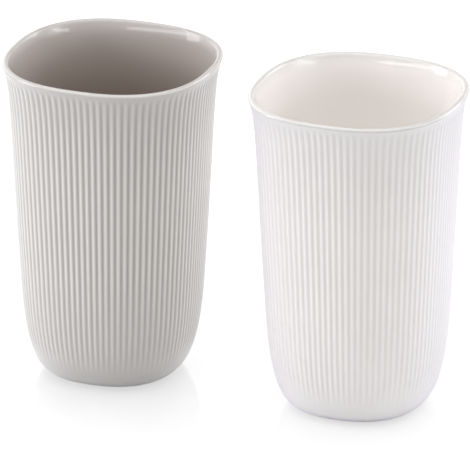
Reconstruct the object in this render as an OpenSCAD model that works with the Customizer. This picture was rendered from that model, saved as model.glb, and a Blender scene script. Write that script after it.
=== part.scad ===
// A pair of ribbed porcelain tumblers with soft-square mouths and no handles.
// Both have the same body, and each has a glossy glaze coat inside and over its lip.
// Millimetres, +Z up, the standing surface at z = 0, the origin midway between the two.

/* [Pair] */
// Gap between the two tumblers at their mouths
pair_gap = 18.2; // [6:0.2:60]

/* [Body] */
// Height from the standing surface to the top of the lip
height = 120; // [100:1:150]
// Width over the lip, across the flats
mouth_w = 76.8; // [68:0.2:90]
// How far the wall leans out from upright, in degrees
wall_lean = 3; // [1:0.1:5]
// How far the wall bulges past a straight line at half height
belly = 0.4; // [0:0.1:3]
// Thickness of the finished wall, and of the round lip on it
wall_t = 2.2; // [1.6:0.1:4]
// Thickness of the floor, measured from the standing surface
floor_t = 4.2; // [3.2:0.1:8]

/* [Lip] */
// How far the lip flares out past the leaning wall
lip_flare = 1.9; // [0:0.1:4]
// Depth over which the flare falls to about a third
flare_run = 6.3; // [4:0.1:12]

/* [Heel and foot] */
// Height at which the rounded heel runs into the wall
heel_h = 40; // [28:1:50]
// Fullness of the heel's curve, where 2 is an ellipse
heel_power = 2.95; // [2:0.05:4]
// Width of the standing ring, over its outer edge
foot_w = 42; // [36:0.5:56]
// Width of the flat land that the tumbler stands on
foot_land = 3; // [2:0.5:5]
// Depth of the hollow inside the standing ring
foot_recess = 1.2; // [0.6:0.1:2]

/* [Soft square] */
// Squareness of the mouth, where 2 is a circle
squareness = 2.45; // [2:0.05:4]
// Share of that squareness that is left at the foot
foot_squareness = 0.7; // [0:0.05:1]

/* [Ribs] */
// Number of upright ribs round one tumbler
rib_count = 96; // [64:8:128]
// Depth of the grooves between the ribs
rib_depth = 0.45; // [0.2:0.05:0.8]
// Height of the plain band under the lip
lip_band = 2; // [1.5:0.5:4]
// Length over which the ribs fade out below that band
lip_fade = 3.5; // [2:0.5:5]
// Height of the plain heel below the ribs
heel_band = 8; // [5:0.5:10]
// Length over which the ribs fade out above the plain heel
heel_fade = 7; // [3:0.5:12]

/* [Glaze] */
// Thickness of the glaze coat
glaze_t = 0.3; // [0.2:0.05:0.6]

/* [Hidden] */

// Distance between the two tumblers' centres
pitch = mouth_w + pair_gap;
// Points on a fine ring, two for each rib, and on a coarse one
fine = 2 * rib_count;
coarse = rib_count / 2;
// Height of the lip's centre line, where the wall ends
lip_z = height - wall_t / 2;
// Heights between which the grooves have their full depth
groove_low = heel_band + heel_fade;
groove_high = height - lip_band - lip_fade;
// Height at which the flare begins to show, in lengths of its run below the lip
flare_low = height - 2.5 * flare_run;
// Turns over the lip, in degrees from its outer side
LIP_TURNS = [45, 90, 135];
// Step over which a slope is measured
SLOPE_STEP = 0.05;

function mix(a, b, t) = a + (b - a) * t;
function clamp01(t) = min(1, max(0, t));
function reversed(list) = [for (i = [len(list) - 1:-1:0]) list[i]];
// Heights from a, left out, to b, taken in, closer together near a where power is over 1
function levels(a, b, n, power = 1) = [for (i = [1:n]) mix(a, b, pow(i / n, power))];

// ---- Section: half width across the flats at a height ----

function wall_at(z) =
    mouth_w / 2 - lip_flare - tan(wall_lean) * (lip_z - z)
    + belly * 4 * (z / lip_z) * (1 - z / lip_z)
    + lip_flare * exp(-(lip_z - z) / flare_run);

// Share of the heel's inward turn at a height: 1 on the floor, 0 where it meets the wall
function heel_turn(z) = 1 - pow(1 - pow(clamp01(1 - z / heel_h), heel_power), 1 / heel_power);

function outside_at(z) = wall_at(z) - heel_turn(z) * (wall_at(heel_h) - foot_w / 2);

// The inside is the outside one wall further in, raised by the floor
function inside_at(z) = outside_at(lip_z * (z - floor_t) / (lip_z - floor_t)) - wall_t;

// Angle of the inside's lean at a height: near 90 on the flat floor, 0 on an upright wall
function inside_lean(z) = atan((inside_at(z + SLOPE_STEP) - inside_at(z)) / SLOPE_STEP);

// ---- Plan: the soft square ----

function square_at(z) = mix(foot_squareness, 1, z / height);

function plan(a, z) = mix(
    1, pow(pow(abs(cos(a)), squareness) + pow(abs(sin(a)), squareness), -1 / squareness), square_at(z)
);

// Share of the full groove depth at a height
function groove_at(z) =
    clamp01((z - heel_band) / heel_fade) * clamp01((height - lip_band - z) / lip_fade);

// One ring of points, anticlockwise from above, with every second point in a groove
function ring(r, z, count, groove = 0) = [
    for (i = [0:count - 1])
        let (a = 360 * i / count, p = r * plan(a, z) - (i % 2 == 0 ? groove : 0))
            [p * cos(a), p * sin(a), z]
];

// ---- Rings of the body and of its glaze ----

foot_rings = [
    ring(foot_w / 2 - foot_land, foot_recess, coarse),
    ring(foot_w / 2 - foot_land, 0, coarse),
    ring(foot_w / 2, 0, coarse)
];

outside_levels = concat(
    levels(0, heel_band, 4, 2),
    levels(heel_band, groove_low, 1),
    levels(groove_low, heel_h, 3),
    levels(heel_h, flare_low, 1),
    levels(flare_low, groove_high, 2),
    levels(groove_high, height - lip_band, 1)
);
outside_rings = [
    for (z = outside_levels) ring(outside_at(z), z, fine, rib_depth * groove_at(z))
];

lip_edge_ring = ring(wall_at(lip_z), lip_z, coarse);

// The coat starts as nothing at the lip's outer side and is full from the top of the lip
function coat_over_lip(turn) = glaze_t * min(1, turn / 90);

function lip_rings(under) = [
    for (turn = LIP_TURNS)
        let (r = wall_t / 2 - (under ? coat_over_lip(turn) : 0))
            ring(wall_at(lip_z) - wall_t / 2 + r * cos(turn), lip_z + r * sin(turn), coarse)
];

inside_levels = concat(
    [lip_z],
    reversed(levels(heel_h, flare_low, 2)),
    reversed(levels(floor_t, heel_h, 5, 2)),
    [floor_t]
);

function inside_rings(under) = [
    for (z = inside_levels)
        let (coat = under ? glaze_t : 0, lean = z == lip_z ? 0 : inside_lean(z))
            ring(inside_at(z) + coat * cos(lean), z - coat * sin(lean), coarse)
];

// The body's own surface below the coat, and the finished surface of the coat
bisque_rings = concat(lip_rings(true), inside_rings(true));
glazed_rings = concat(lip_rings(false), inside_rings(false));

// ---- Skin: a closed surface over a stack of rings, with a flat cap at each end ----

function starts(rings, i = 0, at = 0) =
    i == len(rings) ? [] : concat([at], starts(rings, i + 1, at + len(rings[i])));

// Faces between a ring of m points and the next one, of n, where one count divides the other
function band(a, m, b, n) =
    m == n ? [
        for (i = [0:m - 1]) let (j = (i + 1) % m)
            each [[a + i, b + i, b + j], [a + i, b + j, a + j]]
    ] : m > n ? fan_band(a, m, b, n) : [for (f = fan_band(b, n, a, m)) reversed(f)];

// Faces from a fine ring of m points to a coarse one of n
function fan_band(a, m, b, n) = let (k = m / n, half = floor(k / 2)) [
    for (i = [0:n - 1]) let (j = (i + 1) % n) each concat(
        [for (s = [0:k - 1]) [a + k * i + s, b + (s < half ? i : j), a + (k * i + s + 1) % m]],
        [[a + k * i + half, b + i, b + j]]
    )
];

module skin(rings, inside_out = false) {
    at = starts(rings);
    last = len(rings) - 1;
    faces = concat(
        [[for (i = [0:len(rings[0]) - 1]) i]],
        [for (k = [0:last - 1]) each band(at[k], len(rings[k]), at[k + 1], len(rings[k + 1]))],
        [[for (i = [len(rings[last]) - 1:-1:0]) at[last] + i]]
    );
    polyhedron(
        points = [for (r = rings) each r],
        faces = inside_out ? [for (f = faces) reversed(f)] : faces
    );
}

// ---- Sub-parts ----

module tumbler_body() {
    skin(concat(foot_rings, outside_rings, [lip_edge_ring], bisque_rings));
}

module inner_glaze() {
    skin(concat(reversed(glazed_rings), [lip_edge_ring], bisque_rings), inside_out = true);
}

module grey_place() {
    translate([-pitch / 2, 0, 0]) children();
}

module white_place() {
    translate([pitch / 2, 0, 0]) children();
}

module grey_tumbler() {
    color([0.8, 0.78, 0.76]) grey_place() tumbler_body();
}

module grey_inner_glaze() {
    color([0.66, 0.63, 0.6]) grey_place() inner_glaze();
}

module white_tumbler() {
    color([0.95, 0.94, 0.93]) white_place() tumbler_body();
}

module white_inner_glaze() {
    color([0.93, 0.91, 0.89]) white_place() inner_glaze();
}

grey_tumbler();
grey_inner_glaze();
white_tumbler();
white_inner_glaze();
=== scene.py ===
"""A pair of ribbed porcelain tumblers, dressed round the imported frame.

Each tumbler is two pieces: the bare, satin porcelain body with its upright ribs,
and the glossy glaze coat inside it and over its lip. Lengths are metres, +Z is up
and the tumblers stand on z = 0.
"""

import logging
import math
from collections.abc import Callable, Iterable
from dataclasses import dataclass, field
from enum import Enum

import bpy
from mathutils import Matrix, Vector


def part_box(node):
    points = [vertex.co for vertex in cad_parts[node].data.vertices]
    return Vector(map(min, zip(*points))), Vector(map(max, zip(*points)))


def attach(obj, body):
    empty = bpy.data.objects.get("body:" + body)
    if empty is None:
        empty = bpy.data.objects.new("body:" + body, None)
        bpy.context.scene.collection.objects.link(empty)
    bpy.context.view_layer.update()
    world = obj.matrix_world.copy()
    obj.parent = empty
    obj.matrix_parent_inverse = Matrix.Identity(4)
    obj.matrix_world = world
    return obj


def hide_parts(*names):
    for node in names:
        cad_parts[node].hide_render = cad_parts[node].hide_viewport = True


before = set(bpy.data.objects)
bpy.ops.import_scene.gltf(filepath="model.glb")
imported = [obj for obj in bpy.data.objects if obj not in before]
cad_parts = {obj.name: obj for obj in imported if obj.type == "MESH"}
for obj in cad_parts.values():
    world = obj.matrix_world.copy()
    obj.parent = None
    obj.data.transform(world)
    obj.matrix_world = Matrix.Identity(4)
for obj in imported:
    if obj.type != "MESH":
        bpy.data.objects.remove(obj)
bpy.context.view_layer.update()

MM = 0.001
QUARTER = math.pi / 2
LOG = logging.getLogger("tumblers")

# Settings that many nodes share
SMOOTH = {"interpolation_type": "SMOOTHSTEP"}
TIMES = {"operation": "MULTIPLY"}
COLOURS = {"data_type": "RGBA"}

# A ring's radius and height
Ring = tuple[float, float]
Socket = bpy.types.NodeSocket


# ---- Small helpers ----


def linear(code: str) -> tuple[float, float, float, float]:
    """Turns an sRGB hex colour into linear light.

    Args:
        code: Six hex digits, as in "E9E4DF".

    Returns:
        Red, green, blue and an alpha of 1, as a colour socket takes them.
    """
    parts = [int(code[i : i + 2], 16) / 255 for i in (0, 2, 4)]
    red, green, blue = (
        p / 12.92 if p <= 0.04045 else ((p + 0.055) / 1.055) ** 2.4 for p in parts
    )
    return red, green, blue, 1.0


def add_node(
    tree: bpy.types.NodeTree,
    kind: str,
    settings: dict[str, object] | None = None,
    inputs: dict[str | int, object] | None = None,
) -> bpy.types.Node:
    """Adds one node, with its settings and what feeds it.

    Args:
        tree: The material's node tree.
        kind: Blender's name for the node type.
        settings: Properties of the node and their values.
        inputs: Input sockets, by name or number, and either a value or the socket
            that feeds them.

    Returns:
        The new node.
    """
    made = tree.nodes.new(kind)
    for name, value in (settings or {}).items():
        setattr(made, name, value)
    for key, value in (inputs or {}).items():
        if isinstance(value, Socket):
            tree.links.new(value, made.inputs[key])
        else:
            made.inputs[key].default_value = value
    return made


def blank_material(name: str) -> tuple[bpy.types.Material, bpy.types.NodeTree]:
    """Makes a node material with an empty tree.

    Args:
        name: The material's name.

    Returns:
        The material and its node tree.
    """
    material = bpy.data.materials.new(name)
    material.use_nodes = True
    material.node_tree.nodes.clear()
    return material, material.node_tree


def tumbler_space(
    tree: bpy.types.NodeTree, place_x: float
) -> tuple[Socket, bpy.types.Node]:
    """Adds coordinates that are centred on one tumbler's axis.

    Args:
        tree: The material's node tree.
        place_x: Where the tumbler's axis is along X.

    Returns:
        The centred coordinates, and the node that splits them into X, Y and Z.
    """
    where = add_node(tree, "ShaderNodeTexCoord")
    centred = add_node(
        tree,
        "ShaderNodeMapping",
        inputs={"Vector": where.outputs["Object"], "Location": (-place_x, 0, 0)},
    ).outputs[0]
    return centred, add_node(tree, "ShaderNodeSeparateXYZ", inputs={0: centred})


def stand_off(
    made: bpy.types.Object,
    aim: Vector,
    azimuth: float,
    elevation: float,
    distance: float,
) -> None:
    """Sets a lamp or the camera off from a point, and turns it to that point.

    Args:
        made: The lamp's or camera's object.
        aim: The point that it faces.
        azimuth: Degrees round the tumblers, from -Y towards +X.
        elevation: Degrees above the floor.
        distance: Distance from the point.
    """
    turn, rise = math.radians(azimuth), math.radians(elevation)
    away = Vector(
        (
            math.sin(turn) * math.cos(rise),
            -math.cos(turn) * math.cos(rise),
            math.sin(rise),
        )
    )
    made.location = aim + away * distance
    made.rotation_euler = away.to_track_quat("Z", "Y").to_euler()


def smooth_step(low: float, high: float, value: float) -> float:
    """Rises smoothly from 0 at low to 1 at high."""
    share = min(1.0, max(0.0, (value - low) / (high - low)))
    return share * share * (3 - 2 * share)


def spaced(start: float, end: float, count: int, power: float = 1.0) -> list[float]:
    """Lists count values from start, left out, to end; a power over 1 crowds start."""
    return [start + (end - start) * (i / count) ** power for i in range(1, count + 1)]


# ---- The tumbler's form ----


@dataclass(frozen=True)
class TumblerForm:
    """Sizes of one tumbler, and the section and plan that follow from them.

    The section is half the width across the flats at a height, and the plan is a
    soft square that is rounder at the foot. These are the solid model's sizes, apart
    from the grooves': firing and polishing leave the grooves shallower and let them
    run further out, while the crests stay where they are.
    """

    height: float = 120 * MM
    mouth_w: float = 76.8 * MM
    wall_lean: float = math.radians(3)
    belly: float = 0.4 * MM
    wall_t: float = 2.2 * MM
    floor_t: float = 4.2 * MM
    lip_flare: float = 1.9 * MM
    flare_run: float = 6.3 * MM
    heel_h: float = 40 * MM
    heel_power: float = 2.95
    foot_w: float = 42 * MM
    foot_land: float = 3 * MM
    foot_recess: float = 1.2 * MM
    squareness: float = 2.45
    foot_squareness: float = 0.7
    rib_count: int = 96
    rib_depth: float = 0.3 * MM
    lip_band: float = 1.4 * MM
    lip_fade: float = 3.6 * MM
    heel_band: float = 5 * MM
    heel_fade: float = 13 * MM
    glaze_t: float = 0.3 * MM

    @property
    def lip_z(self) -> float:
        """Height of the lip's centre line, where the wall ends."""
        return self.height - self.wall_t / 2

    @property
    def lip_r(self) -> float:
        """Half width over the lip's centre line."""
        return self.wall_at(self.lip_z) - self.wall_t / 2

    @property
    def groove_low(self) -> float:
        """Height above which the grooves have their full depth."""
        return self.heel_band + self.heel_fade

    @property
    def groove_high(self) -> float:
        """Height below which the grooves have their full depth."""
        return self.height - self.lip_band - self.lip_fade

    def wall_at(self, z: float) -> float:
        """Gives the half width of the wall's outside, before the heel turns in.

        Args:
            z: Height.

        Returns:
            The leaning, bulging and flaring wall's half width at that height.
        """
        up = z / self.lip_z
        return (
            self.mouth_w / 2
            - self.lip_flare
            - math.tan(self.wall_lean) * (self.lip_z - z)
            + self.belly * 4 * up * (1 - up)
            + self.lip_flare * math.exp(-(self.lip_z - z) / self.flare_run)
        )

    def outside_at(self, z: float) -> float:
        """Gives the half width of the outside, heel included.

        Args:
            z: Height.

        Returns:
            The half width at that height.
        """
        below = min(1.0, max(0.0, 1 - z / self.heel_h))
        turn = 1 - (1 - below**self.heel_power) ** (1 / self.heel_power)
        return self.wall_at(z) - turn * (self.wall_at(self.heel_h) - self.foot_w / 2)

    def inside_at(self, z: float) -> float:
        """Half width of the glazed inside at a height."""
        raised = self.lip_z * (z - self.floor_t) / (self.lip_z - self.floor_t)
        return self.outside_at(max(0.0, raised)) - self.wall_t

    def lean_at(self, z: float, step: float) -> float:
        """Lean of the inside wall, in radians, measured over a step upwards."""
        return math.atan((self.inside_at(z + step) - self.inside_at(z)) / step)

    def plan(self, angle: float, z: float) -> float:
        """Gives the radius at an angle round the axis, as a share of the half width.

        Args:
            angle: Angle round the axis, in radians.
            z: Height.

        Returns:
            1 on the flats, and a little over 1 towards the corners.
        """
        p = self.squareness
        square = (abs(math.cos(angle)) ** p + abs(math.sin(angle)) ** p) ** (-1 / p)
        share = self.foot_squareness + (1 - self.foot_squareness) * z / self.height
        return 1 + (square - 1) * share

    def groove(self, angle: float, z: float) -> float:
        """Gives the depth of the ribbing at an angle and height.

        Args:
            angle: Angle round the axis, in radians.
            z: Height.

        Returns:
            0 on a rib's crest, and the full depth at the bottom of a groove.
        """
        top = self.height - self.lip_band
        fade = smooth_step(self.heel_band, self.groove_low, z) * (
            1 - smooth_step(self.groove_high, top, z)
        )
        return self.rib_depth * fade * (0.5 + 0.5 * math.cos(self.rib_count * angle))

    def heel_levels(self, count: int) -> list[float]:
        """Lists heights that follow the heel's curve at even steps of its turn.

        Args:
            count: Number of heights.

        Returns:
            The heights from the lowest, above 0, up to the heel's full height.
        """
        turns = (QUARTER * (1 - i / count) for i in range(1, count + 1))
        return [
            self.heel_h * (1 - math.sin(turn) ** (2 / self.heel_power))
            for turn in turns
        ]


def turned_rings(name: str, rings: list[Ring], columns: int) -> bpy.types.Object:
    """Models a closed round form, ring on ring, from the middle of one end.

    The first ring is a filled circle. Each next one is its edge, extruded to a new
    height and scaled to a new width, and the last one is filled.

    Args:
        name: The new object's name.
        rings: Radius and height of each ring.
        columns: Number of points round a ring.

    Returns:
        The object, with its vertices in the order of the rings.
    """
    bpy.ops.object.select_all(action="DESELECT")
    radius, z = rings[0]
    bpy.ops.mesh.primitive_circle_add(
        vertices=columns, radius=radius, fill_type="NGON", location=(0, 0, 0)
    )
    made = bpy.context.active_object
    made.name = made.data.name = name
    bpy.ops.object.mode_set(mode="EDIT")
    bpy.ops.mesh.select_mode(type="EDGE")
    bpy.ops.mesh.select_all(action="SELECT")
    bpy.ops.transform.translate(value=(0, 0, z))
    for next_radius, next_z in rings[1:]:
        bpy.ops.mesh.extrude_edges_move(
            TRANSFORM_OT_translate={"value": (0, 0, next_z - z)}
        )
        grow = next_radius / radius
        bpy.ops.transform.resize(
            value=(grow, grow, 1), center_override=(0, 0, next_z)
        )
        radius, z = next_radius, next_z
    bpy.ops.mesh.edge_face_add()
    bpy.ops.mesh.select_all(action="SELECT")
    bpy.ops.mesh.normals_make_consistent(inside=False)
    bpy.ops.mesh.select_all(action="DESELECT")
    bpy.ops.object.mode_set(mode="OBJECT")
    return made


def shape_rings(
    piece: bpy.types.Object,
    columns: int,
    radius_at: Callable[[int, float, float, float], float],
) -> None:
    """Gives a turned form its plan, which no turning operator can.

    Args:
        piece: An object from turned_rings.
        columns: Number of points round a ring.
        radius_at: Gives the new radius from a point's ring number, radius, angle
            and height.
    """
    for vertex in piece.data.vertices:
        x, y, z = vertex.co
        angle = math.atan2(y, x)
        radius = radius_at(vertex.index // columns, math.hypot(x, y), angle, z)
        vertex.co = (radius * math.cos(angle), radius * math.sin(angle), z)
    piece.data.update()


# ---- Finishes ----


class Colourway(Enum):
    """The two colours that the tumblers are made in."""

    GREY = "grey"
    WHITE = "white"


@dataclass(frozen=True)
class SatinPorcelain:
    """Bare porcelain, cast, fired hard and wet-polished to a satin skin.

    It has no glaze: the eye sees a dense, even, slightly warm clay with a soft sheen
    that pales towards its edges. Polishing leaves the crests of the ribs smoother
    than the grooves. Its colour carries painted light and shade: crests painted
    paler and grooves darker, less so where the ribs run out, low on the heel and
    near the lip; a painted highlight in the band up to the lip; and painted shade
    under the lip and near the floor, turned to painted light at the white one's foot.
    """

    name: str
    # Colours of the plain wall; of the ribs' crests and grooves, which paint light
    # and shade on the ribs; of the band up to the lip's bare edge, a painted
    # highlight; and of the standing ring, which use rubs pale
    plain: str
    crest: str
    groove: str
    rim: str
    foot: str
    roughness: float = 0.35
    # How much rougher the bottom of a groove is than a crest
    groove_rough: float = 0.1
    ior: float = 1.5
    sheen: float = 1.0
    sheen_roughness: float = 0.8
    sheen_tint: str = "FFFFFF"
    # Share of the ribs' painted light and shade that is left low on the heel, and
    # the heights between which it grows to the whole
    heel_rib_shading: float = 0.32
    heel_rib_shading_from: float = 5 * MM
    heel_rib_shading_to: float = 48 * MM
    # The same at the top of the lip, and the length below it in which it grows
    lip_rib_shading: float = 0.35
    lip_rib_shading_reach: float = 22 * MM
    # Share of the colour's lightness at the foot, a painted shade near the floor
    # under 1 and painted light over 1, and the height at which it has run out
    heel_light_and_shade: float = 1.0
    heel_light_and_shade_reach: float = 12 * MM
    # The same at the lip, a painted shade under its flare, and the length below it
    # in which that painted shade runs out
    neck_painted_shade: float = 1.0
    neck_shade_reach: float = 40 * MM
    # Length from the top over which the band's painted highlight grows towards the lip
    rim_reach: float = 3 * MM
    # Heights between which the standing ring's rubbed colour runs out
    foot_rub_from: float = 0.05 * MM
    foot_rub_to: float = 0.25 * MM
    # Size and strength of the soft clouds in the fired body's colour
    cloud: float = 22 * MM
    cloud_depth: float = 0.015
    # Size and height of the fine polishing grain, which is drawn coarser than the
    # real 0.05 mm so that it shows
    grain: float = 0.3 * MM
    grain_height: float = 0.02 * MM
    grain_strength: float = 0.25

    def build(self, form: TumblerForm, place_x: float) -> bpy.types.Material:
        """Makes the material for one tumbler's body.

        Args:
            form: The tumbler's sizes, which place the ribs and the foot.
            place_x: Where the tumbler's axis is along X.

        Returns:
            The material.
        """
        material, tree = blank_material(self.name)
        centred, axes = tumbler_space(tree, place_x)
        height = axes.outputs["Z"]
        groove, ribbed = self.add_ribs(tree, axes, form)
        clay = self.add_clay(tree, height, form, groove, ribbed)
        tone = self.add_tone(tree, height, form, centred)
        colour = add_node(
            tree, "ShaderNodeHueSaturation", inputs={"Color": clay, "Value": tone}
        )
        depth = add_node(tree, "ShaderNodeMath", TIMES, {0: groove, 1: ribbed})
        rough = add_node(
            tree,
            "ShaderNodeMapRange",
            inputs={
                0: depth.outputs[0],
                3: self.roughness,
                4: self.roughness + self.groove_rough,
            },
        )
        grain = add_node(
            tree,
            "ShaderNodeTexNoise",
            inputs={
                "Vector": centred,
                "Scale": 1 / self.grain,
                "Detail": 2.0,
                "Roughness": 0.6,
            },
        )
        relief = add_node(
            tree,
            "ShaderNodeBump",
            inputs={
                "Strength": self.grain_strength,
                "Distance": self.grain_height,
                "Height": grain.outputs[0],
            },
        )
        shader = add_node(
            tree,
            "ShaderNodeBsdfPrincipled",
            inputs={
                "Base Color": colour.outputs[0],
                "Roughness": rough.outputs[0],
                "IOR": self.ior,
                "Sheen Weight": self.sheen,
                "Sheen Roughness": self.sheen_roughness,
                "Sheen Tint": linear(self.sheen_tint),
                "Normal": relief.outputs[0],
            },
        )
        add_node(
            tree, "ShaderNodeOutputMaterial", inputs={"Surface": shader.outputs[0]}
        )
        return material

    def add_ribs(
        self, tree: bpy.types.NodeTree, axes: bpy.types.Node, form: TumblerForm
    ) -> tuple[Socket, Socket]:
        """Adds the pattern of the ribs, on the grooves that the mesh has.

        Args:
            tree: The material's node tree.
            axes: The node that gives X, Y and Z from the tumbler's axis.
            form: The tumbler's sizes.

        Returns:
            How far into a groove a point is, from 0 on a crest to 1, and how much
            ribbing there is at its height.
        """
        height = axes.outputs["Z"]
        around = add_node(
            tree,
            "ShaderNodeMath",
            {"operation": "ARCTAN2"},
            {0: axes.outputs["Y"], 1: axes.outputs["X"]},
        )
        counted = add_node(
            tree, "ShaderNodeMath", TIMES, {0: around.outputs[0], 1: form.rib_count}
        )
        wave = add_node(
            tree, "ShaderNodeMath", {"operation": "COSINE"}, {0: counted.outputs[0]}
        )
        groove = add_node(
            tree, "ShaderNodeMapRange", inputs={0: wave.outputs[0], 1: -1.0}
        )
        fade_in = add_node(
            tree,
            "ShaderNodeMapRange",
            SMOOTH,
            {0: height, 1: form.heel_band, 2: form.groove_low},
        )
        fade_out = add_node(
            tree,
            "ShaderNodeMapRange",
            SMOOTH,
            {0: height, 1: form.height - form.lip_band, 2: form.groove_high},
        )
        ribbed = add_node(
            tree,
            "ShaderNodeMath",
            TIMES,
            {0: fade_in.outputs[0], 1: fade_out.outputs[0]},
        )
        return groove.outputs[0], ribbed.outputs[0]

    def add_clay(
        self,
        tree: bpy.types.NodeTree,
        height: Socket,
        form: TumblerForm,
        groove: Socket,
        ribbed: Socket,
    ) -> Socket:
        """Adds the ribs' painted light and shade, the rim's painted highlight and the
        foot.

        Args:
            tree: The material's node tree.
            height: Height above the standing surface.
            form: The tumbler's sizes.
            groove: How far into a groove a point is.
            ribbed: How much ribbing there is at its height.

        Returns:
            The colour.
        """
        # How much of the ribs' painted light and shade is kept low on the heel and near
        # the lip
        rib_shading_low = add_node(
            tree,
            "ShaderNodeMapRange",
            inputs={
                0: height,
                1: self.heel_rib_shading_from,
                2: self.heel_rib_shading_to,
                3: self.heel_rib_shading,
            },
        )
        rib_shading_high = add_node(
            tree,
            "ShaderNodeMapRange",
            inputs={
                0: height,
                1: form.height,
                2: form.height - self.lip_rib_shading_reach,
                3: self.lip_rib_shading,
            },
        )
        contrast = ribbed
        for rib_shading_end in (rib_shading_low, rib_shading_high):
            contrast = add_node(
                tree, "ShaderNodeMath", TIMES, {0: contrast, 1: rib_shading_end.outputs[0]}
            ).outputs[0]
        # Crests painted paler and grooves darker: painted light and shade on the ribs
        ribs = add_node(
            tree,
            "ShaderNodeMix",
            COLOURS,
            {0: groove, 6: linear(self.crest), 7: linear(self.groove)},
        )
        # The band up to the lip, painted paler: a painted highlight
        edge = add_node(
            tree,
            "ShaderNodeMapRange",
            SMOOTH,
            {0: height, 1: form.height - self.rim_reach, 2: form.lip_z},
        )
        ground = add_node(
            tree,
            "ShaderNodeMapRange",
            inputs={0: height, 1: self.foot_rub_to, 2: self.foot_rub_from},
        )
        colour = linear(self.plain)
        # Over the plain colour: the ribs' painted light and shade, the rim's painted
        # highlight, and the standing ring's rubbed colour
        for share, over in (
            (contrast, ribs.outputs[2]),
            (edge.outputs[0], linear(self.rim)),
            (ground.outputs[0], linear(self.foot)),
        ):
            colour = add_node(
                tree, "ShaderNodeMix", COLOURS, {0: share, 6: colour, 7: over}
            ).outputs[2]
        return colour

    def add_tone(
        self,
        tree: bpy.types.NodeTree,
        height: Socket,
        form: TumblerForm,
        centred: Socket,
    ) -> Socket:
        """Adds the soft clouds, and painted shade at both ends, light at a share over
        1.

        Args:
            tree: The material's node tree.
            height: Height above the standing surface.
            form: The tumbler's sizes.
            centred: Coordinates from the tumbler's axis.

        Returns:
            What the colour's lightness is multiplied by.
        """
        cloud = add_node(
            tree,
            "ShaderNodeTexNoise",
            inputs={
                "Vector": centred,
                "Scale": 1 / self.cloud,
                "Detail": 2.0,
                "Roughness": 0.5,
            },
        )
        # Nearly all of a noise lies between these two values
        noise_low, noise_high = 0.3, 0.7
        clouded = add_node(
            tree,
            "ShaderNodeMapRange",
            inputs={
                0: cloud.outputs[0],
                1: noise_low,
                2: noise_high,
                3: 1 - self.cloud_depth,
                4: 1 + self.cloud_depth,
            },
        )
        # Painted shade near the floor, turned to painted light where the share is over
        # 1
        low = add_node(
            tree,
            "ShaderNodeMapRange",
            SMOOTH,
            {0: height, 2: self.heel_light_and_shade_reach, 3: self.heel_light_and_shade},
        )
        # Painted shade under the lip's flare
        high = add_node(
            tree,
            "ShaderNodeMapRange",
            inputs={
                0: height,
                1: form.lip_z,
                2: form.lip_z - self.neck_shade_reach,
                3: self.neck_painted_shade,
            },
        )
        tone = clouded.outputs[0]
        for end in (low, high):
            tone = add_node(
                tree, "ShaderNodeMath", TIMES, {0: tone, 1: end.outputs[0]}
            ).outputs[0]
        return tone


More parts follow.
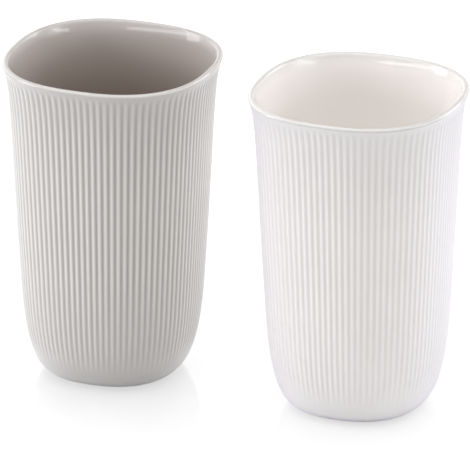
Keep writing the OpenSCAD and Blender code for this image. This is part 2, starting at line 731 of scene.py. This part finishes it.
@dataclass(frozen=True)
class GlossGlaze:
    """Tinted feldspar glaze, poured in, drained and fired to a gloss.

    The eye sees it smooth and wet-looking. Its colour carries painted light and
    shade: a darker line along the crown of the lip, a painted shade where the top
    lamp falls; painted highlights just inside the rim and on the lip's outer side;
    and painted shade that deepens towards the floor.
    """

    name: str
    # Colours under the lip; of the painted shade on the lip's crown; of the painted
    # highlights inside the rim and on the lip's outer side; and of the painted shade
    # from the middle of the wall to the floor
    wall: str
    crown: str
    rim: str
    lip: str
    deep_painted_shade: str
    roughness: float = 0.07
    ior: float = 1.52
    # How far the crown's painted shade and the lip's painted highlight begin below
    # its centre line, and are full below its top
    crown_from: float = 1.2 * MM
    crown_full: float = 0.3 * MM
    # Length below the lip in which the wall's colour turns to the painted shade
    deep_shade_reach: float = 40 * MM
    # Length from the top over which the painted highlight inside the rim grows
    rim_reach: float = 4 * MM
    # How much the skin faces the axis, or away from it, where the rim's and the
    # lip's painted highlights begin and are full
    rim_facing: tuple[float, float] = (-0.5, -0.95)
    lip_facing: tuple[float, float] = (0.2, 0.9)
    # Spacing and height of the faint ripple that a poured glaze keeps
    ripple: float = 5 * MM
    ripple_height: float = 0.05 * MM
    ripple_strength: float = 0.3

    def build(self, form: TumblerForm, place_x: float) -> bpy.types.Material:
        """Makes the material for one tumbler's glaze coat.

        Args:
            form: The tumbler's sizes, which place the lip and the floor.
            place_x: Where the tumbler's axis is along X.

        Returns:
            The material.
        """
        material, tree = blank_material(self.name)
        centred, axes = tumbler_space(tree, place_x)
        colour = self.add_colour(tree, axes.outputs["Z"], form, centred)
        wave = add_node(
            tree,
            "ShaderNodeTexNoise",
            inputs={"Vector": centred, "Scale": 1 / self.ripple, "Detail": 1.0},
        )
        relief = add_node(
            tree,
            "ShaderNodeBump",
            inputs={
                "Strength": self.ripple_strength,
                "Distance": self.ripple_height,
                "Height": wave.outputs[0],
            },
        )
        shader = add_node(
            tree,
            "ShaderNodeBsdfPrincipled",
            inputs={
                "Base Color": colour,
                "Roughness": self.roughness,
                "IOR": self.ior,
                "Normal": relief.outputs[0],
            },
        )
        add_node(
            tree, "ShaderNodeOutputMaterial", inputs={"Surface": shader.outputs[0]}
        )
        return material

    def add_colour(
        self,
        tree: bpy.types.NodeTree,
        height: Socket,
        form: TumblerForm,
        centred: Socket,
    ) -> Socket:
        """Adds the glaze's colour: painted shade and highlights over the wall's.

        Args:
            tree: The material's node tree.
            height: Height above the standing surface.
            form: The tumbler's sizes.
            centred: Coordinates from the tumbler's axis.

        Returns:
            The colour.
        """
        # Darker towards the floor: painted shade
        deep_shade_share = add_node(
            tree,
            "ShaderNodeMapRange",
            SMOOTH,
            {0: height, 1: form.height, 2: form.height - self.deep_shade_reach},
        )
        # Band over the lip that takes the crown's painted shade and the lip's painted
        # highlight
        crowned = add_node(
            tree,
            "ShaderNodeMapRange",
            SMOOTH,
            {
                0: height,
                1: form.lip_z - self.crown_from,
                2: form.height - self.crown_full,
            },
        )
        upper = add_node(
            tree,
            "ShaderNodeMapRange",
            inputs={0: height, 1: form.height - self.rim_reach, 2: form.lip_z},
        )
        facing = self.add_facing(tree, centred)
        inner, outer = (
            add_node(
                tree,
                "ShaderNodeMapRange",
                SMOOTH,
                {0: facing, 1: limits[0], 2: limits[1]},
            )
            for limits in (self.rim_facing, self.lip_facing)
        )
        # Inside the rim, painted paler: a painted highlight
        rim_highlight_share = add_node(
            tree, "ShaderNodeMath", TIMES, {0: inner.outputs[0], 1: upper.outputs[0]}
        )
        # The lip's outer side, painted paler: a painted highlight
        lip_highlight_share = add_node(
            tree, "ShaderNodeMath", TIMES, {0: crowned.outputs[0], 1: outer.outputs[0]}
        )
        colour = linear(self.wall)
        # Over the wall's colour: painted shade deep down and on the crown, painted
        # highlights inside the rim and on the lip's outer side
        for share, over in (
            (deep_shade_share, self.deep_painted_shade),
            (crowned, self.crown),
            (rim_highlight_share, self.rim),
            (lip_highlight_share, self.lip),
        ):
            colour = add_node(
                tree,
                "ShaderNodeMix",
                COLOURS,
                {0: share.outputs[0], 6: colour, 7: linear(over)},
            ).outputs[2]
        return colour

    def add_facing(self, tree: bpy.types.NodeTree, centred: Socket) -> Socket:
        """Adds how much the skin faces away from the tumbler's axis.

        Args:
            tree: The material's node tree.
            centred: Coordinates from the tumbler's axis.

        Returns:
            1 on the outer side of the lip, and -1 on the wall inside.
        """
        level = add_node(
            tree, "ShaderNodeVectorMath", TIMES, {0: centred, 1: (1.0, 1.0, 0.0)}
        )
        outward = add_node(
            tree,
            "ShaderNodeVectorMath",
            {"operation": "NORMALIZE"},
            {0: level.outputs[0]},
        )
        skin = add_node(tree, "ShaderNodeNewGeometry")
        facing = add_node(
            tree,
            "ShaderNodeVectorMath",
            {"operation": "DOT_PRODUCT"},
            {0: skin.outputs["Normal"], 1: outward.outputs[0]},
        )
        return facing.outputs["Value"]


CLAYS = {
    Colourway.GREY: SatinPorcelain(
        name="grey_satin_porcelain",
        plain="B0AAA5",
        # Crest and groove paint light and shade on the ribs
        crest="D9D4CD",
        groove="86807A",
        # A painted highlight in the band up to the lip
        rim="B6B1AC",
        foot="C9C4BF",
        # Painted shade at the foot
        heel_light_and_shade=0.76,
        # Painted shade under the lip
        neck_painted_shade=0.9,
    ),
    Colourway.WHITE: SatinPorcelain(
        name="white_satin_porcelain",
        plain="F2EFEB",
        # Crest and groove paint light and shade on the ribs
        crest="F9F6F2",
        groove="E5E1DB",
        # A painted highlight in the band up to the lip
        rim="F4F1ED",
        foot="F0EDE8",
        sheen=0.9,
        sheen_roughness=0.6,
        sheen_tint="F1EEFF",
        # Painted light at the foot
        heel_light_and_shade=1.05,
        heel_light_and_shade_reach=6 * MM,
        # Painted shade under the lip
        neck_painted_shade=0.93,
    ),
}
GLAZES = {
    Colourway.GREY: GlossGlaze(
        name="grey_gloss_glaze",
        wall="C6BEB9",
        # A painted shade on the lip's crown
        crown="AEA9A5",
        # A painted highlight inside the rim
        rim="D3CECB",
        # A painted highlight on the lip's outer side
        lip="D2CECA",
        # Painted shade towards the floor
        deep_painted_shade="96887D",
    ),
    Colourway.WHITE: GlossGlaze(
        name="white_gloss_glaze",
        wall="FCF8F5",
        # A painted shade on the lip's crown
        crown="C3C0BD",
        # A painted highlight inside the rim
        rim="F0EDE9",
        # A painted highlight on the lip's outer side
        lip="DEDCD9",
        # Painted shade towards the floor
        deep_painted_shade="FAF6F2",
    ),
}


# ---- The tumblers ----


@dataclass(frozen=True)
class RingCounts:
    """Numbers of rings along each stretch of a tumbler's section."""

    foot_inner: int = 4
    foot_edge: int = 3
    heel: int = 26
    heel_fade: int = 16
    wall: int = 12
    flare: int = 9
    lip_fade: int = 12
    lip_band: int = 2
    # Over the lip, down the inside wall and round to its floor: where the coat lies
    # on the body, out of sight, and on the coat's own face
    hidden: tuple[int, int, int] = (6, 6, 14)
    glazed: tuple[int, int, int] = (16, 26, 26)


@dataclass
class Tumbler:
    """One tumbler: a ribbed porcelain body and the glaze coat inside it."""

    colourway: Colourway
    place_x: float
    form: TumblerForm = field(default_factory=TumblerForm)
    counts: RingCounts = field(default_factory=RingCounts)
    # Points round the body, eight for each rib, and round the coat, four
    body_columns: int = 768
    coat_columns: int = 384
    # Rounding of the foot ring's edges, and of the hollow's corner
    foot_round: float = 0.5 * MM
    # Radii of the flat rings in the hollow under the foot, and on the floor inside
    hollow_radii: tuple[float, ...] = (2 * MM, 8 * MM)
    floor_radii: tuple[float, ...] = (12 * MM, 5 * MM, 1.5 * MM)
    # How closely the rings of the inside wall gather below the lip
    gather: float = 1.6
    # How far the coat's rolled edge stands proud of the bare lip, its height above
    # the edge, and the turn over the lip at which the coat is round again
    bead: float = 0.04 * MM
    bead_rise: float = 0.12 * MM
    bead_turn: float = math.radians(12)
    # Edges that turn by more than this stay sharp
    sharp: float = math.radians(50)
    body: bpy.types.Object | None = None
    coat: bpy.types.Object | None = None

    @property
    def node(self) -> str:
        """Name of the CAD body and of its porcelain node."""
        return f"{self.colourway.value}_tumbler"

    def foot_rings(self) -> list[Ring]:
        """Lists the rings under the foot.

        Returns:
            The rings from the middle of the underside to the standing ring's outer
            edge.
        """
        form, soft = self.form, self.foot_round
        inner = form.foot_w / 2 - form.foot_land
        up = form.foot_recess
        rings = [(radius, up) for radius in (*self.hollow_radii, inner - 3 * soft)]
        rings += [
            (inner - 2 * soft + soft * math.sin(turn), up - soft * (1 - math.cos(turn)))
            for turn in spaced(0, QUARTER, self.counts.foot_inner)
        ]
        rings.append((inner, soft))
        rings += [
            (inner + soft * (1 - math.cos(turn)), soft * (1 - math.sin(turn)))
            for turn in spaced(0, QUARTER, self.counts.foot_edge)
        ]
        rings.append((form.foot_w / 2 - soft, 0.0))
        return rings

    def outside_rings(self) -> list[Ring]:
        """Lists the rings up the outside.

        Returns:
            The rings from the standing ring's edge to the lip's outer side.
        """
        form, counts = self.form, self.counts
        top = form.height - form.lip_band
        # The flare has faded out three runs down
        flare_low = form.height - 3 * form.flare_run
        heel = [
            z
            for z in form.heel_levels(counts.heel)
            if not form.heel_band <= z <= form.groove_low
        ]
        levels = sorted(
            heel
            + [form.heel_band]
            + spaced(form.heel_band, form.groove_low, counts.heel_fade)
            + spaced(form.heel_h, flare_low, counts.wall)
            + spaced(flare_low, form.groove_high, counts.flare)
            + spaced(form.groove_high, top, counts.lip_fade)
            + spaced(top, form.lip_z, counts.lip_band)
        )
        return [(form.outside_at(z), z) for z in levels]

    def lip_rings(
        self, coat: float, count: int, start: float = 0.0, lean: float = 0.0
    ) -> list[Ring]:
        """Lists the rings over the round lip, from its outer side to its inner side.

        Args:
            coat: How far below the finished surface the rings lie from the top on.
            count: Number of steps over the lip.
            start: Angle of the first ring's place, left out.
            lean: Lean of the wall that the last ring runs into.

        Returns:
            The rings.
        """
        form = self.form
        rings = []
        for turn in spaced(start, math.pi - lean, count):
            radius = form.wall_t / 2 - coat * min(1.0, turn / QUARTER)
            rings.append(
                (
                    form.lip_r + radius * math.cos(turn),
                    form.lip_z + radius * math.sin(turn),
                )
            )
        return rings

    def inside_rings(self, coat: float, wall: int, heel: int) -> list[Ring]:
        """Lists the rings down the inside, from below the lip to the floor's middle.

        Args:
            coat: How far below the finished surface the rings lie.
            wall: Number of rings down the wall.
            heel: Number of rings round the curve to the floor.

        Returns:
            The rings.
        """
        # The wall's lean is taken over this length
        form, step = self.form, 0.02 * MM
        scale = (form.lip_z - form.floor_t) / form.lip_z
        heel_top = form.floor_t + form.heel_h * scale
        levels = spaced(form.lip_z, heel_top, wall, self.gather)
        levels += [form.floor_t + z * scale for z in form.heel_levels(heel)[-2::-1]]
        rings = []
        for z in levels:
            lean = form.lean_at(z, step)
            rings.append(
                (form.inside_at(z) + coat * math.cos(lean), z - coat * math.sin(lean))
            )
        radii = (form.foot_w / 2 - form.wall_t, *self.floor_radii)
        return rings + [(radius, form.floor_t - coat) for radius in radii]

    def model_body(self) -> bpy.types.Object:
        """Models the ribbed body as a closed solid round the axis.

        Returns:
            The body's object, still at the origin.
        """
        form = self.form
        lip, wall, heel = self.counts.hidden
        foot = self.foot_rings()
        outside = self.outside_rings()
        hidden = self.lip_rings(form.glaze_t, lip)
        hidden += self.inside_rings(form.glaze_t, wall, heel)
        body = turned_rings(
            f"{self.node}_body", foot + outside + hidden, self.body_columns
        )
        first, last = len(foot), len(foot) + len(outside)

        def radius_at(ring: int, radius: float, angle: float, z: float) -> float:
            """Gives the soft-square radius, less the groove on the outside."""
            cut = form.groove(angle, z) if first <= ring < last else 0.0
            return radius * form.plan(angle, z) - cut

        shape_rings(body, self.body_columns, radius_at)
        return body

    def model_coat(self) -> bpy.types.Object:
        """Models the glaze as a closed thin coat, from its underside outwards.

        Returns:
            The coat's object, still at the origin.
        """
        form = self.form
        lip, wall, heel = self.counts.hidden
        under = self.inside_rings(form.glaze_t, wall, heel)[::-1]
        under += self.lip_rings(form.glaze_t, lip)[-2::-1]
        edge = (form.lip_r + form.wall_t / 2, form.lip_z)
        rolled = (edge[0] + self.bead, edge[1] + self.bead_rise)
        lip, wall, heel = self.counts.glazed
        # The face runs into the flared wall, whose lean is taken over this length
        step = 0.5 * MM
        lean = form.lean_at(form.lip_z - step, step)
        over = self.lip_rings(0.0, lip, self.bead_turn, lean)
        # The lip's last ring lies below the wall's first two
        over += self.inside_rings(0.0, wall, heel)[2:]
        coat = turned_rings(
            f"{self.node}_glaze", under + [edge, rolled] + over, self.coat_columns
        )

        def radius_at(ring: int, radius: float, angle: float, z: float) -> float:
            """Gives the soft-square radius."""
            return radius * form.plan(angle, z)

        shape_rings(coat, self.coat_columns, radius_at)
        return coat

    def model(self) -> None:
        """Models both pieces and sets the tumbler in its place."""
        self.body, self.coat = self.model_body(), self.model_coat()
        self.settle()

    def copy_from(self, other: "Tumbler") -> None:
        """Takes both pieces from another tumbler, each with its own mesh.

        Args:
            other: A tumbler that has been modelled.
        """
        pieces = []
        for source, last in ((other.body, "body"), (other.coat, "glaze")):
            piece = source.copy()
            piece.data = source.data.copy()
            piece.name = piece.data.name = f"{self.node}_{last}"
            bpy.context.collection.objects.link(piece)
            pieces.append(piece)
        self.body, self.coat = pieces
        self.settle(-other.place_x)

    def settle(self, shift: float = 0.0) -> None:
        """Moves both pieces to the tumbler's place and shades them smooth.

        Args:
            shift: A further move along X, for a copy that starts elsewhere.
        """
        bpy.ops.object.select_all(action="DESELECT")
        for piece in (self.body, self.coat):
            piece.location.x = self.place_x + shift
            piece.select_set(True)
        bpy.context.view_layer.objects.active = self.body
        bpy.ops.object.transform_apply(location=True, rotation=True, scale=True)
        bpy.ops.object.shade_smooth_by_angle(angle=self.sharp)

    def dress(self) -> tuple[bpy.types.Object, bpy.types.Object]:
        """Gives both pieces their finish and body, and hides the CAD nodes they stand
        for.

        Returns:
            The body and the coat.
        """
        clay, glaze = CLAYS[self.colourway], GLAZES[self.colourway]
        colour = self.colourway.value
        for piece, finish, node, slot in (
            (self.body, clay, self.node, f"{colour}_porcelain"),
            (self.coat, glaze, f"{colour}_inner_glaze", f"{colour}_glaze"),
        ):
            piece.data.materials.clear()
            piece.data.materials.append(finish.build(self.form, self.place_x))
            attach(piece, self.node)
            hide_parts(node)
        return self.body, self.coat


# ---- The studio ----


@dataclass(frozen=True)
class Softbox:
    """One soft lamp, aimed at the tumblers, with its angles in degrees."""

    name: str
    azimuth: float
    elevation: float
    distance: float
    width: float
    height: float
    power: float
    colour: str = "FBFBFF"

    def build(self, aim: Vector) -> None:
        """Makes the lamp.

        Args:
            aim: The point that it faces.
        """
        lamp = bpy.data.lights.new(self.name, "AREA")
        lamp.shape = "RECTANGLE"
        lamp.size, lamp.size_y = self.width, self.height
        lamp.energy = self.power
        lamp.color = linear(self.colour)[:3]
        made = bpy.data.objects.new(self.name, lamp)
        bpy.context.collection.objects.link(made)
        stand_off(made, aim, self.azimuth, self.elevation, self.distance)
        made.visible_camera = False


@dataclass(frozen=True)
class Studio:
    """A plain pale floor, soft lamps and a pale world."""

    floor_size: float = 6.0
    floor_drop: float = 0.02 * MM
    # Strength of the world's light on the tumblers
    ambient: float = 0.2
    # Height of the point that the lamps face
    aim_z: float = 60 * MM
    # Each lamp's azimuth, elevation, distance, width, height and power
    lamps: tuple[Softbox, ...] = (
        Softbox("softbox_left", -69, 12, 1.0, 0.4, 1.0, 5.3),
        Softbox("softbox_right", 96, 12, 1.0, 0.4, 1.0, 1.7),
        Softbox("softbox_right_back", 139, 12, 1.0, 0.4, 1.0, 4.0),
        Softbox("softbox_left_back", -129, 25, 1.0, 0.9, 0.9, 2.2),
        Softbox("softbox_top", 0, 89, 0.9, 1.15, 1.15, 10, "FFFFFF"),
        Softbox("strip_left", -35, 14, 1.0, 0.9, 0.08, 0.8),
        Softbox("strip_right", 84, 14, 1.0, 0.5, 0.08, 0.5),
    )
    # The card's colour to the tumblers and lamps, and to the eye under its glow
    card: str = "F4F4F4"
    seen_card: str = "7C7C7C"
    # How far round each foot the floor's gloss reaches, where it is full, and how
    # it falls between the two
    gloss_reach: float = 105 * MM
    gloss_full: float = 21 * MM
    gloss_fall: float = 1.3
    # How much the floor mirrors right at a foot, and how soft its image is
    gloss_share: float = 0.27
    gloss_roughness: float = 0.03
    # Glow that whitens the floor to the eye near the feet, and far from them, which
    # begins at this many times the gloss's reach
    floor_lift: float = 0.84
    far_lift: float = 1.0
    far_times: float = 3.0

    def build(self, feet: Iterable[float]) -> bpy.types.Object:
        """Makes the floor, the lamps and the world.

        Args:
            feet: Where the tumblers' axes are along X.

        Returns:
            The floor.
        """
        bpy.ops.object.select_all(action="DESELECT")
        bpy.ops.mesh.primitive_plane_add(
            size=self.floor_size, location=(0, 0, -self.floor_drop)
        )
        floor = bpy.context.active_object
        floor.name = floor.data.name = "studio_floor"
        bpy.ops.object.transform_apply(location=True, rotation=True, scale=True)
        floor.data.materials.append(self.floor_material(feet))
        for lamp in self.lamps:
            lamp.build(Vector((0, 0, self.aim_z)))
        self.build_world()
        return floor

    def floor_material(self, feet: Iterable[float]) -> bpy.types.Material:
        """Makes the floor's white card, with a faint gloss round the feet.

        Args:
            feet: Where the tumblers' axes are along X.

        Returns:
            The material.
        """
        material, tree = blank_material("white_studio_card")
        away = self.add_distance(tree, feet)
        lifted = self.add_seen_card(tree, away)
        near = add_node(
            tree,
            "ShaderNodeMapRange",
            inputs={0: away, 1: self.gloss_reach, 2: self.gloss_full},
        )
        fading = add_node(
            tree,
            "ShaderNodeMath",
            {"operation": "POWER"},
            {0: near.outputs[0], 1: self.gloss_fall},
        )
        gloss = add_node(
            tree, "ShaderNodeMath", TIMES, {0: fading.outputs[0], 1: self.gloss_share}
        )
        mirror = add_node(
            tree,
            "ShaderNodeBsdfGlossy",
            inputs={"Color": linear("FFFFFF"), "Roughness": self.gloss_roughness},
        )
        polished = add_node(
            tree,
            "ShaderNodeMixShader",
            inputs={0: gloss.outputs[0], 1: lifted, 2: mirror.outputs[0]},
        )
        card = add_node(
            tree, "ShaderNodeBsdfDiffuse", inputs={"Color": linear(self.card)}
        )
        rays = add_node(tree, "ShaderNodeLightPath")
        shown = add_node(
            tree,
            "ShaderNodeMixShader",
            inputs={
                0: rays.outputs["Is Camera Ray"],
                1: card.outputs[0],
                2: polished.outputs[0],
            },
        )
        add_node(
            tree, "ShaderNodeOutputMaterial", inputs={"Surface": shown.outputs[0]}
        )
        return material

    def add_distance(self, tree: bpy.types.NodeTree, feet: Iterable[float]) -> Socket:
        """Adds the distance on the floor from the nearest foot's middle.

        Args:
            tree: The material's node tree.
            feet: Where the tumblers' axes are along X.

        Returns:
            The distance.
        """
        where = add_node(tree, "ShaderNodeTexCoord")
        gaps = [
            add_node(
                tree,
                "ShaderNodeVectorMath",
                {"operation": "DISTANCE"},
                {0: where.outputs["Object"], 1: (foot, 0, -self.floor_drop)},
            ).outputs["Value"]
            for foot in feet
        ]
        away = gaps[0]
        for gap in gaps[1:]:
            away = add_node(
                tree, "ShaderNodeMath", {"operation": "MINIMUM"}, {0: away, 1: gap}
            ).outputs[0]
        return away

    def add_seen_card(self, tree: bpy.types.NodeTree, away: Socket) -> Socket:
        """Adds the card as the eye sees it: it holds the shadows, and glows white.

        Args:
            tree: The material's node tree.
            away: Distance from the nearest foot's middle.

        Returns:
            The shader.
        """
        card = add_node(
            tree, "ShaderNodeBsdfDiffuse", inputs={"Color": linear(self.seen_card)}
        )
        glow = add_node(
            tree,
            "ShaderNodeMapRange",
            inputs={
                0: away,
                1: self.gloss_reach,
                2: self.far_times * self.gloss_reach,
                3: self.floor_lift,
                4: self.far_lift,
            },
        )
        lift = add_node(
            tree,
            "ShaderNodeEmission",
            inputs={"Color": linear("FFFFFF"), "Strength": glow.outputs[0]},
        )
        lifted = add_node(
            tree,
            "ShaderNodeAddShader",
            inputs={0: card.outputs[0], 1: lift.outputs[0]},
        )
        return lifted.outputs[0]

    def build_world(self) -> None:
        """Makes a world that lights softly and looks white."""
        world = bpy.data.worlds.new("pale_studio")
        bpy.context.scene.world = world
        world.use_nodes = True
        tree = world.node_tree
        tree.nodes.clear()
        rays = add_node(tree, "ShaderNodeLightPath")
        seen = rays.outputs["Is Camera Ray"]
        for kind in ("Is Glossy Ray", "Is Transmission Ray"):
            seen = add_node(
                tree,
                "ShaderNodeMath",
                {"operation": "MAXIMUM"},
                {0: seen, 1: rays.outputs[kind]},
            ).outputs[0]
        strength = add_node(
            tree, "ShaderNodeMapRange", inputs={0: seen, 3: self.ambient}
        )
        glow = add_node(
            tree,
            "ShaderNodeBackground",
            inputs={"Color": linear("FFFFFF"), "Strength": strength.outputs[0]},
        )
        add_node(tree, "ShaderNodeOutputWorld", inputs={"Surface": glow.outputs[0]})


@dataclass(frozen=True)
class LongLensCamera:
    """A camera far off with a long lens, so that the upright walls hardly converge."""

    azimuth: float = 20.85
    elevation: float = 21.51
    distance: float = 7.0
    view_width: float = 0.1701
    sensor: float = 36.0
    clip_end: float = 20.0
    # The point in the middle of the view
    aim: tuple[float, float, float] = (-0.0001, -0.00004, 0.05732)

    def build(self) -> None:
        """Makes the camera and gives it to the scene."""
        data = bpy.data.cameras.new("long_lens")
        data.sensor_width = self.sensor
        data.lens = self.sensor * self.distance / self.view_width
        data.clip_end = self.clip_end
        camera = bpy.data.objects.new("long_lens", data)
        bpy.context.collection.objects.link(camera)
        stand_off(
            camera, Vector(self.aim), self.azimuth, self.elevation, self.distance
        )
        bpy.context.scene.camera = camera


def place_of(node: str) -> float:
    """Gives where the axis of a CAD node is along X."""
    low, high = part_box(node)
    return (low.x + high.x) / 2


def main() -> None:
    """Builds the tumblers and the studio, and reports each piece."""
    logging.basicConfig(level=logging.INFO, format="%(message)s", force=True)
    grey = Tumbler(Colourway.GREY, place_of("grey_tumbler"))
    white = Tumbler(Colourway.WHITE, place_of("white_tumbler"))
    grey.model()
    white.copy_from(grey)
    for tumbler in (grey, white):
        for piece in tumbler.dress():
            LOG.info("%s: %d faces", piece.name, len(piece.data.polygons))
    floor = Studio().build((grey.place_x, white.place_x))
    LOG.info("%s: the stage, %.1f m wide", floor.name, floor.dimensions.x)
    LongLensCamera().build()
    bpy.context.scene.view_settings.view_transform = "Standard"
    bpy.context.view_layer.update()


if __name__ == "__main__":
    main()
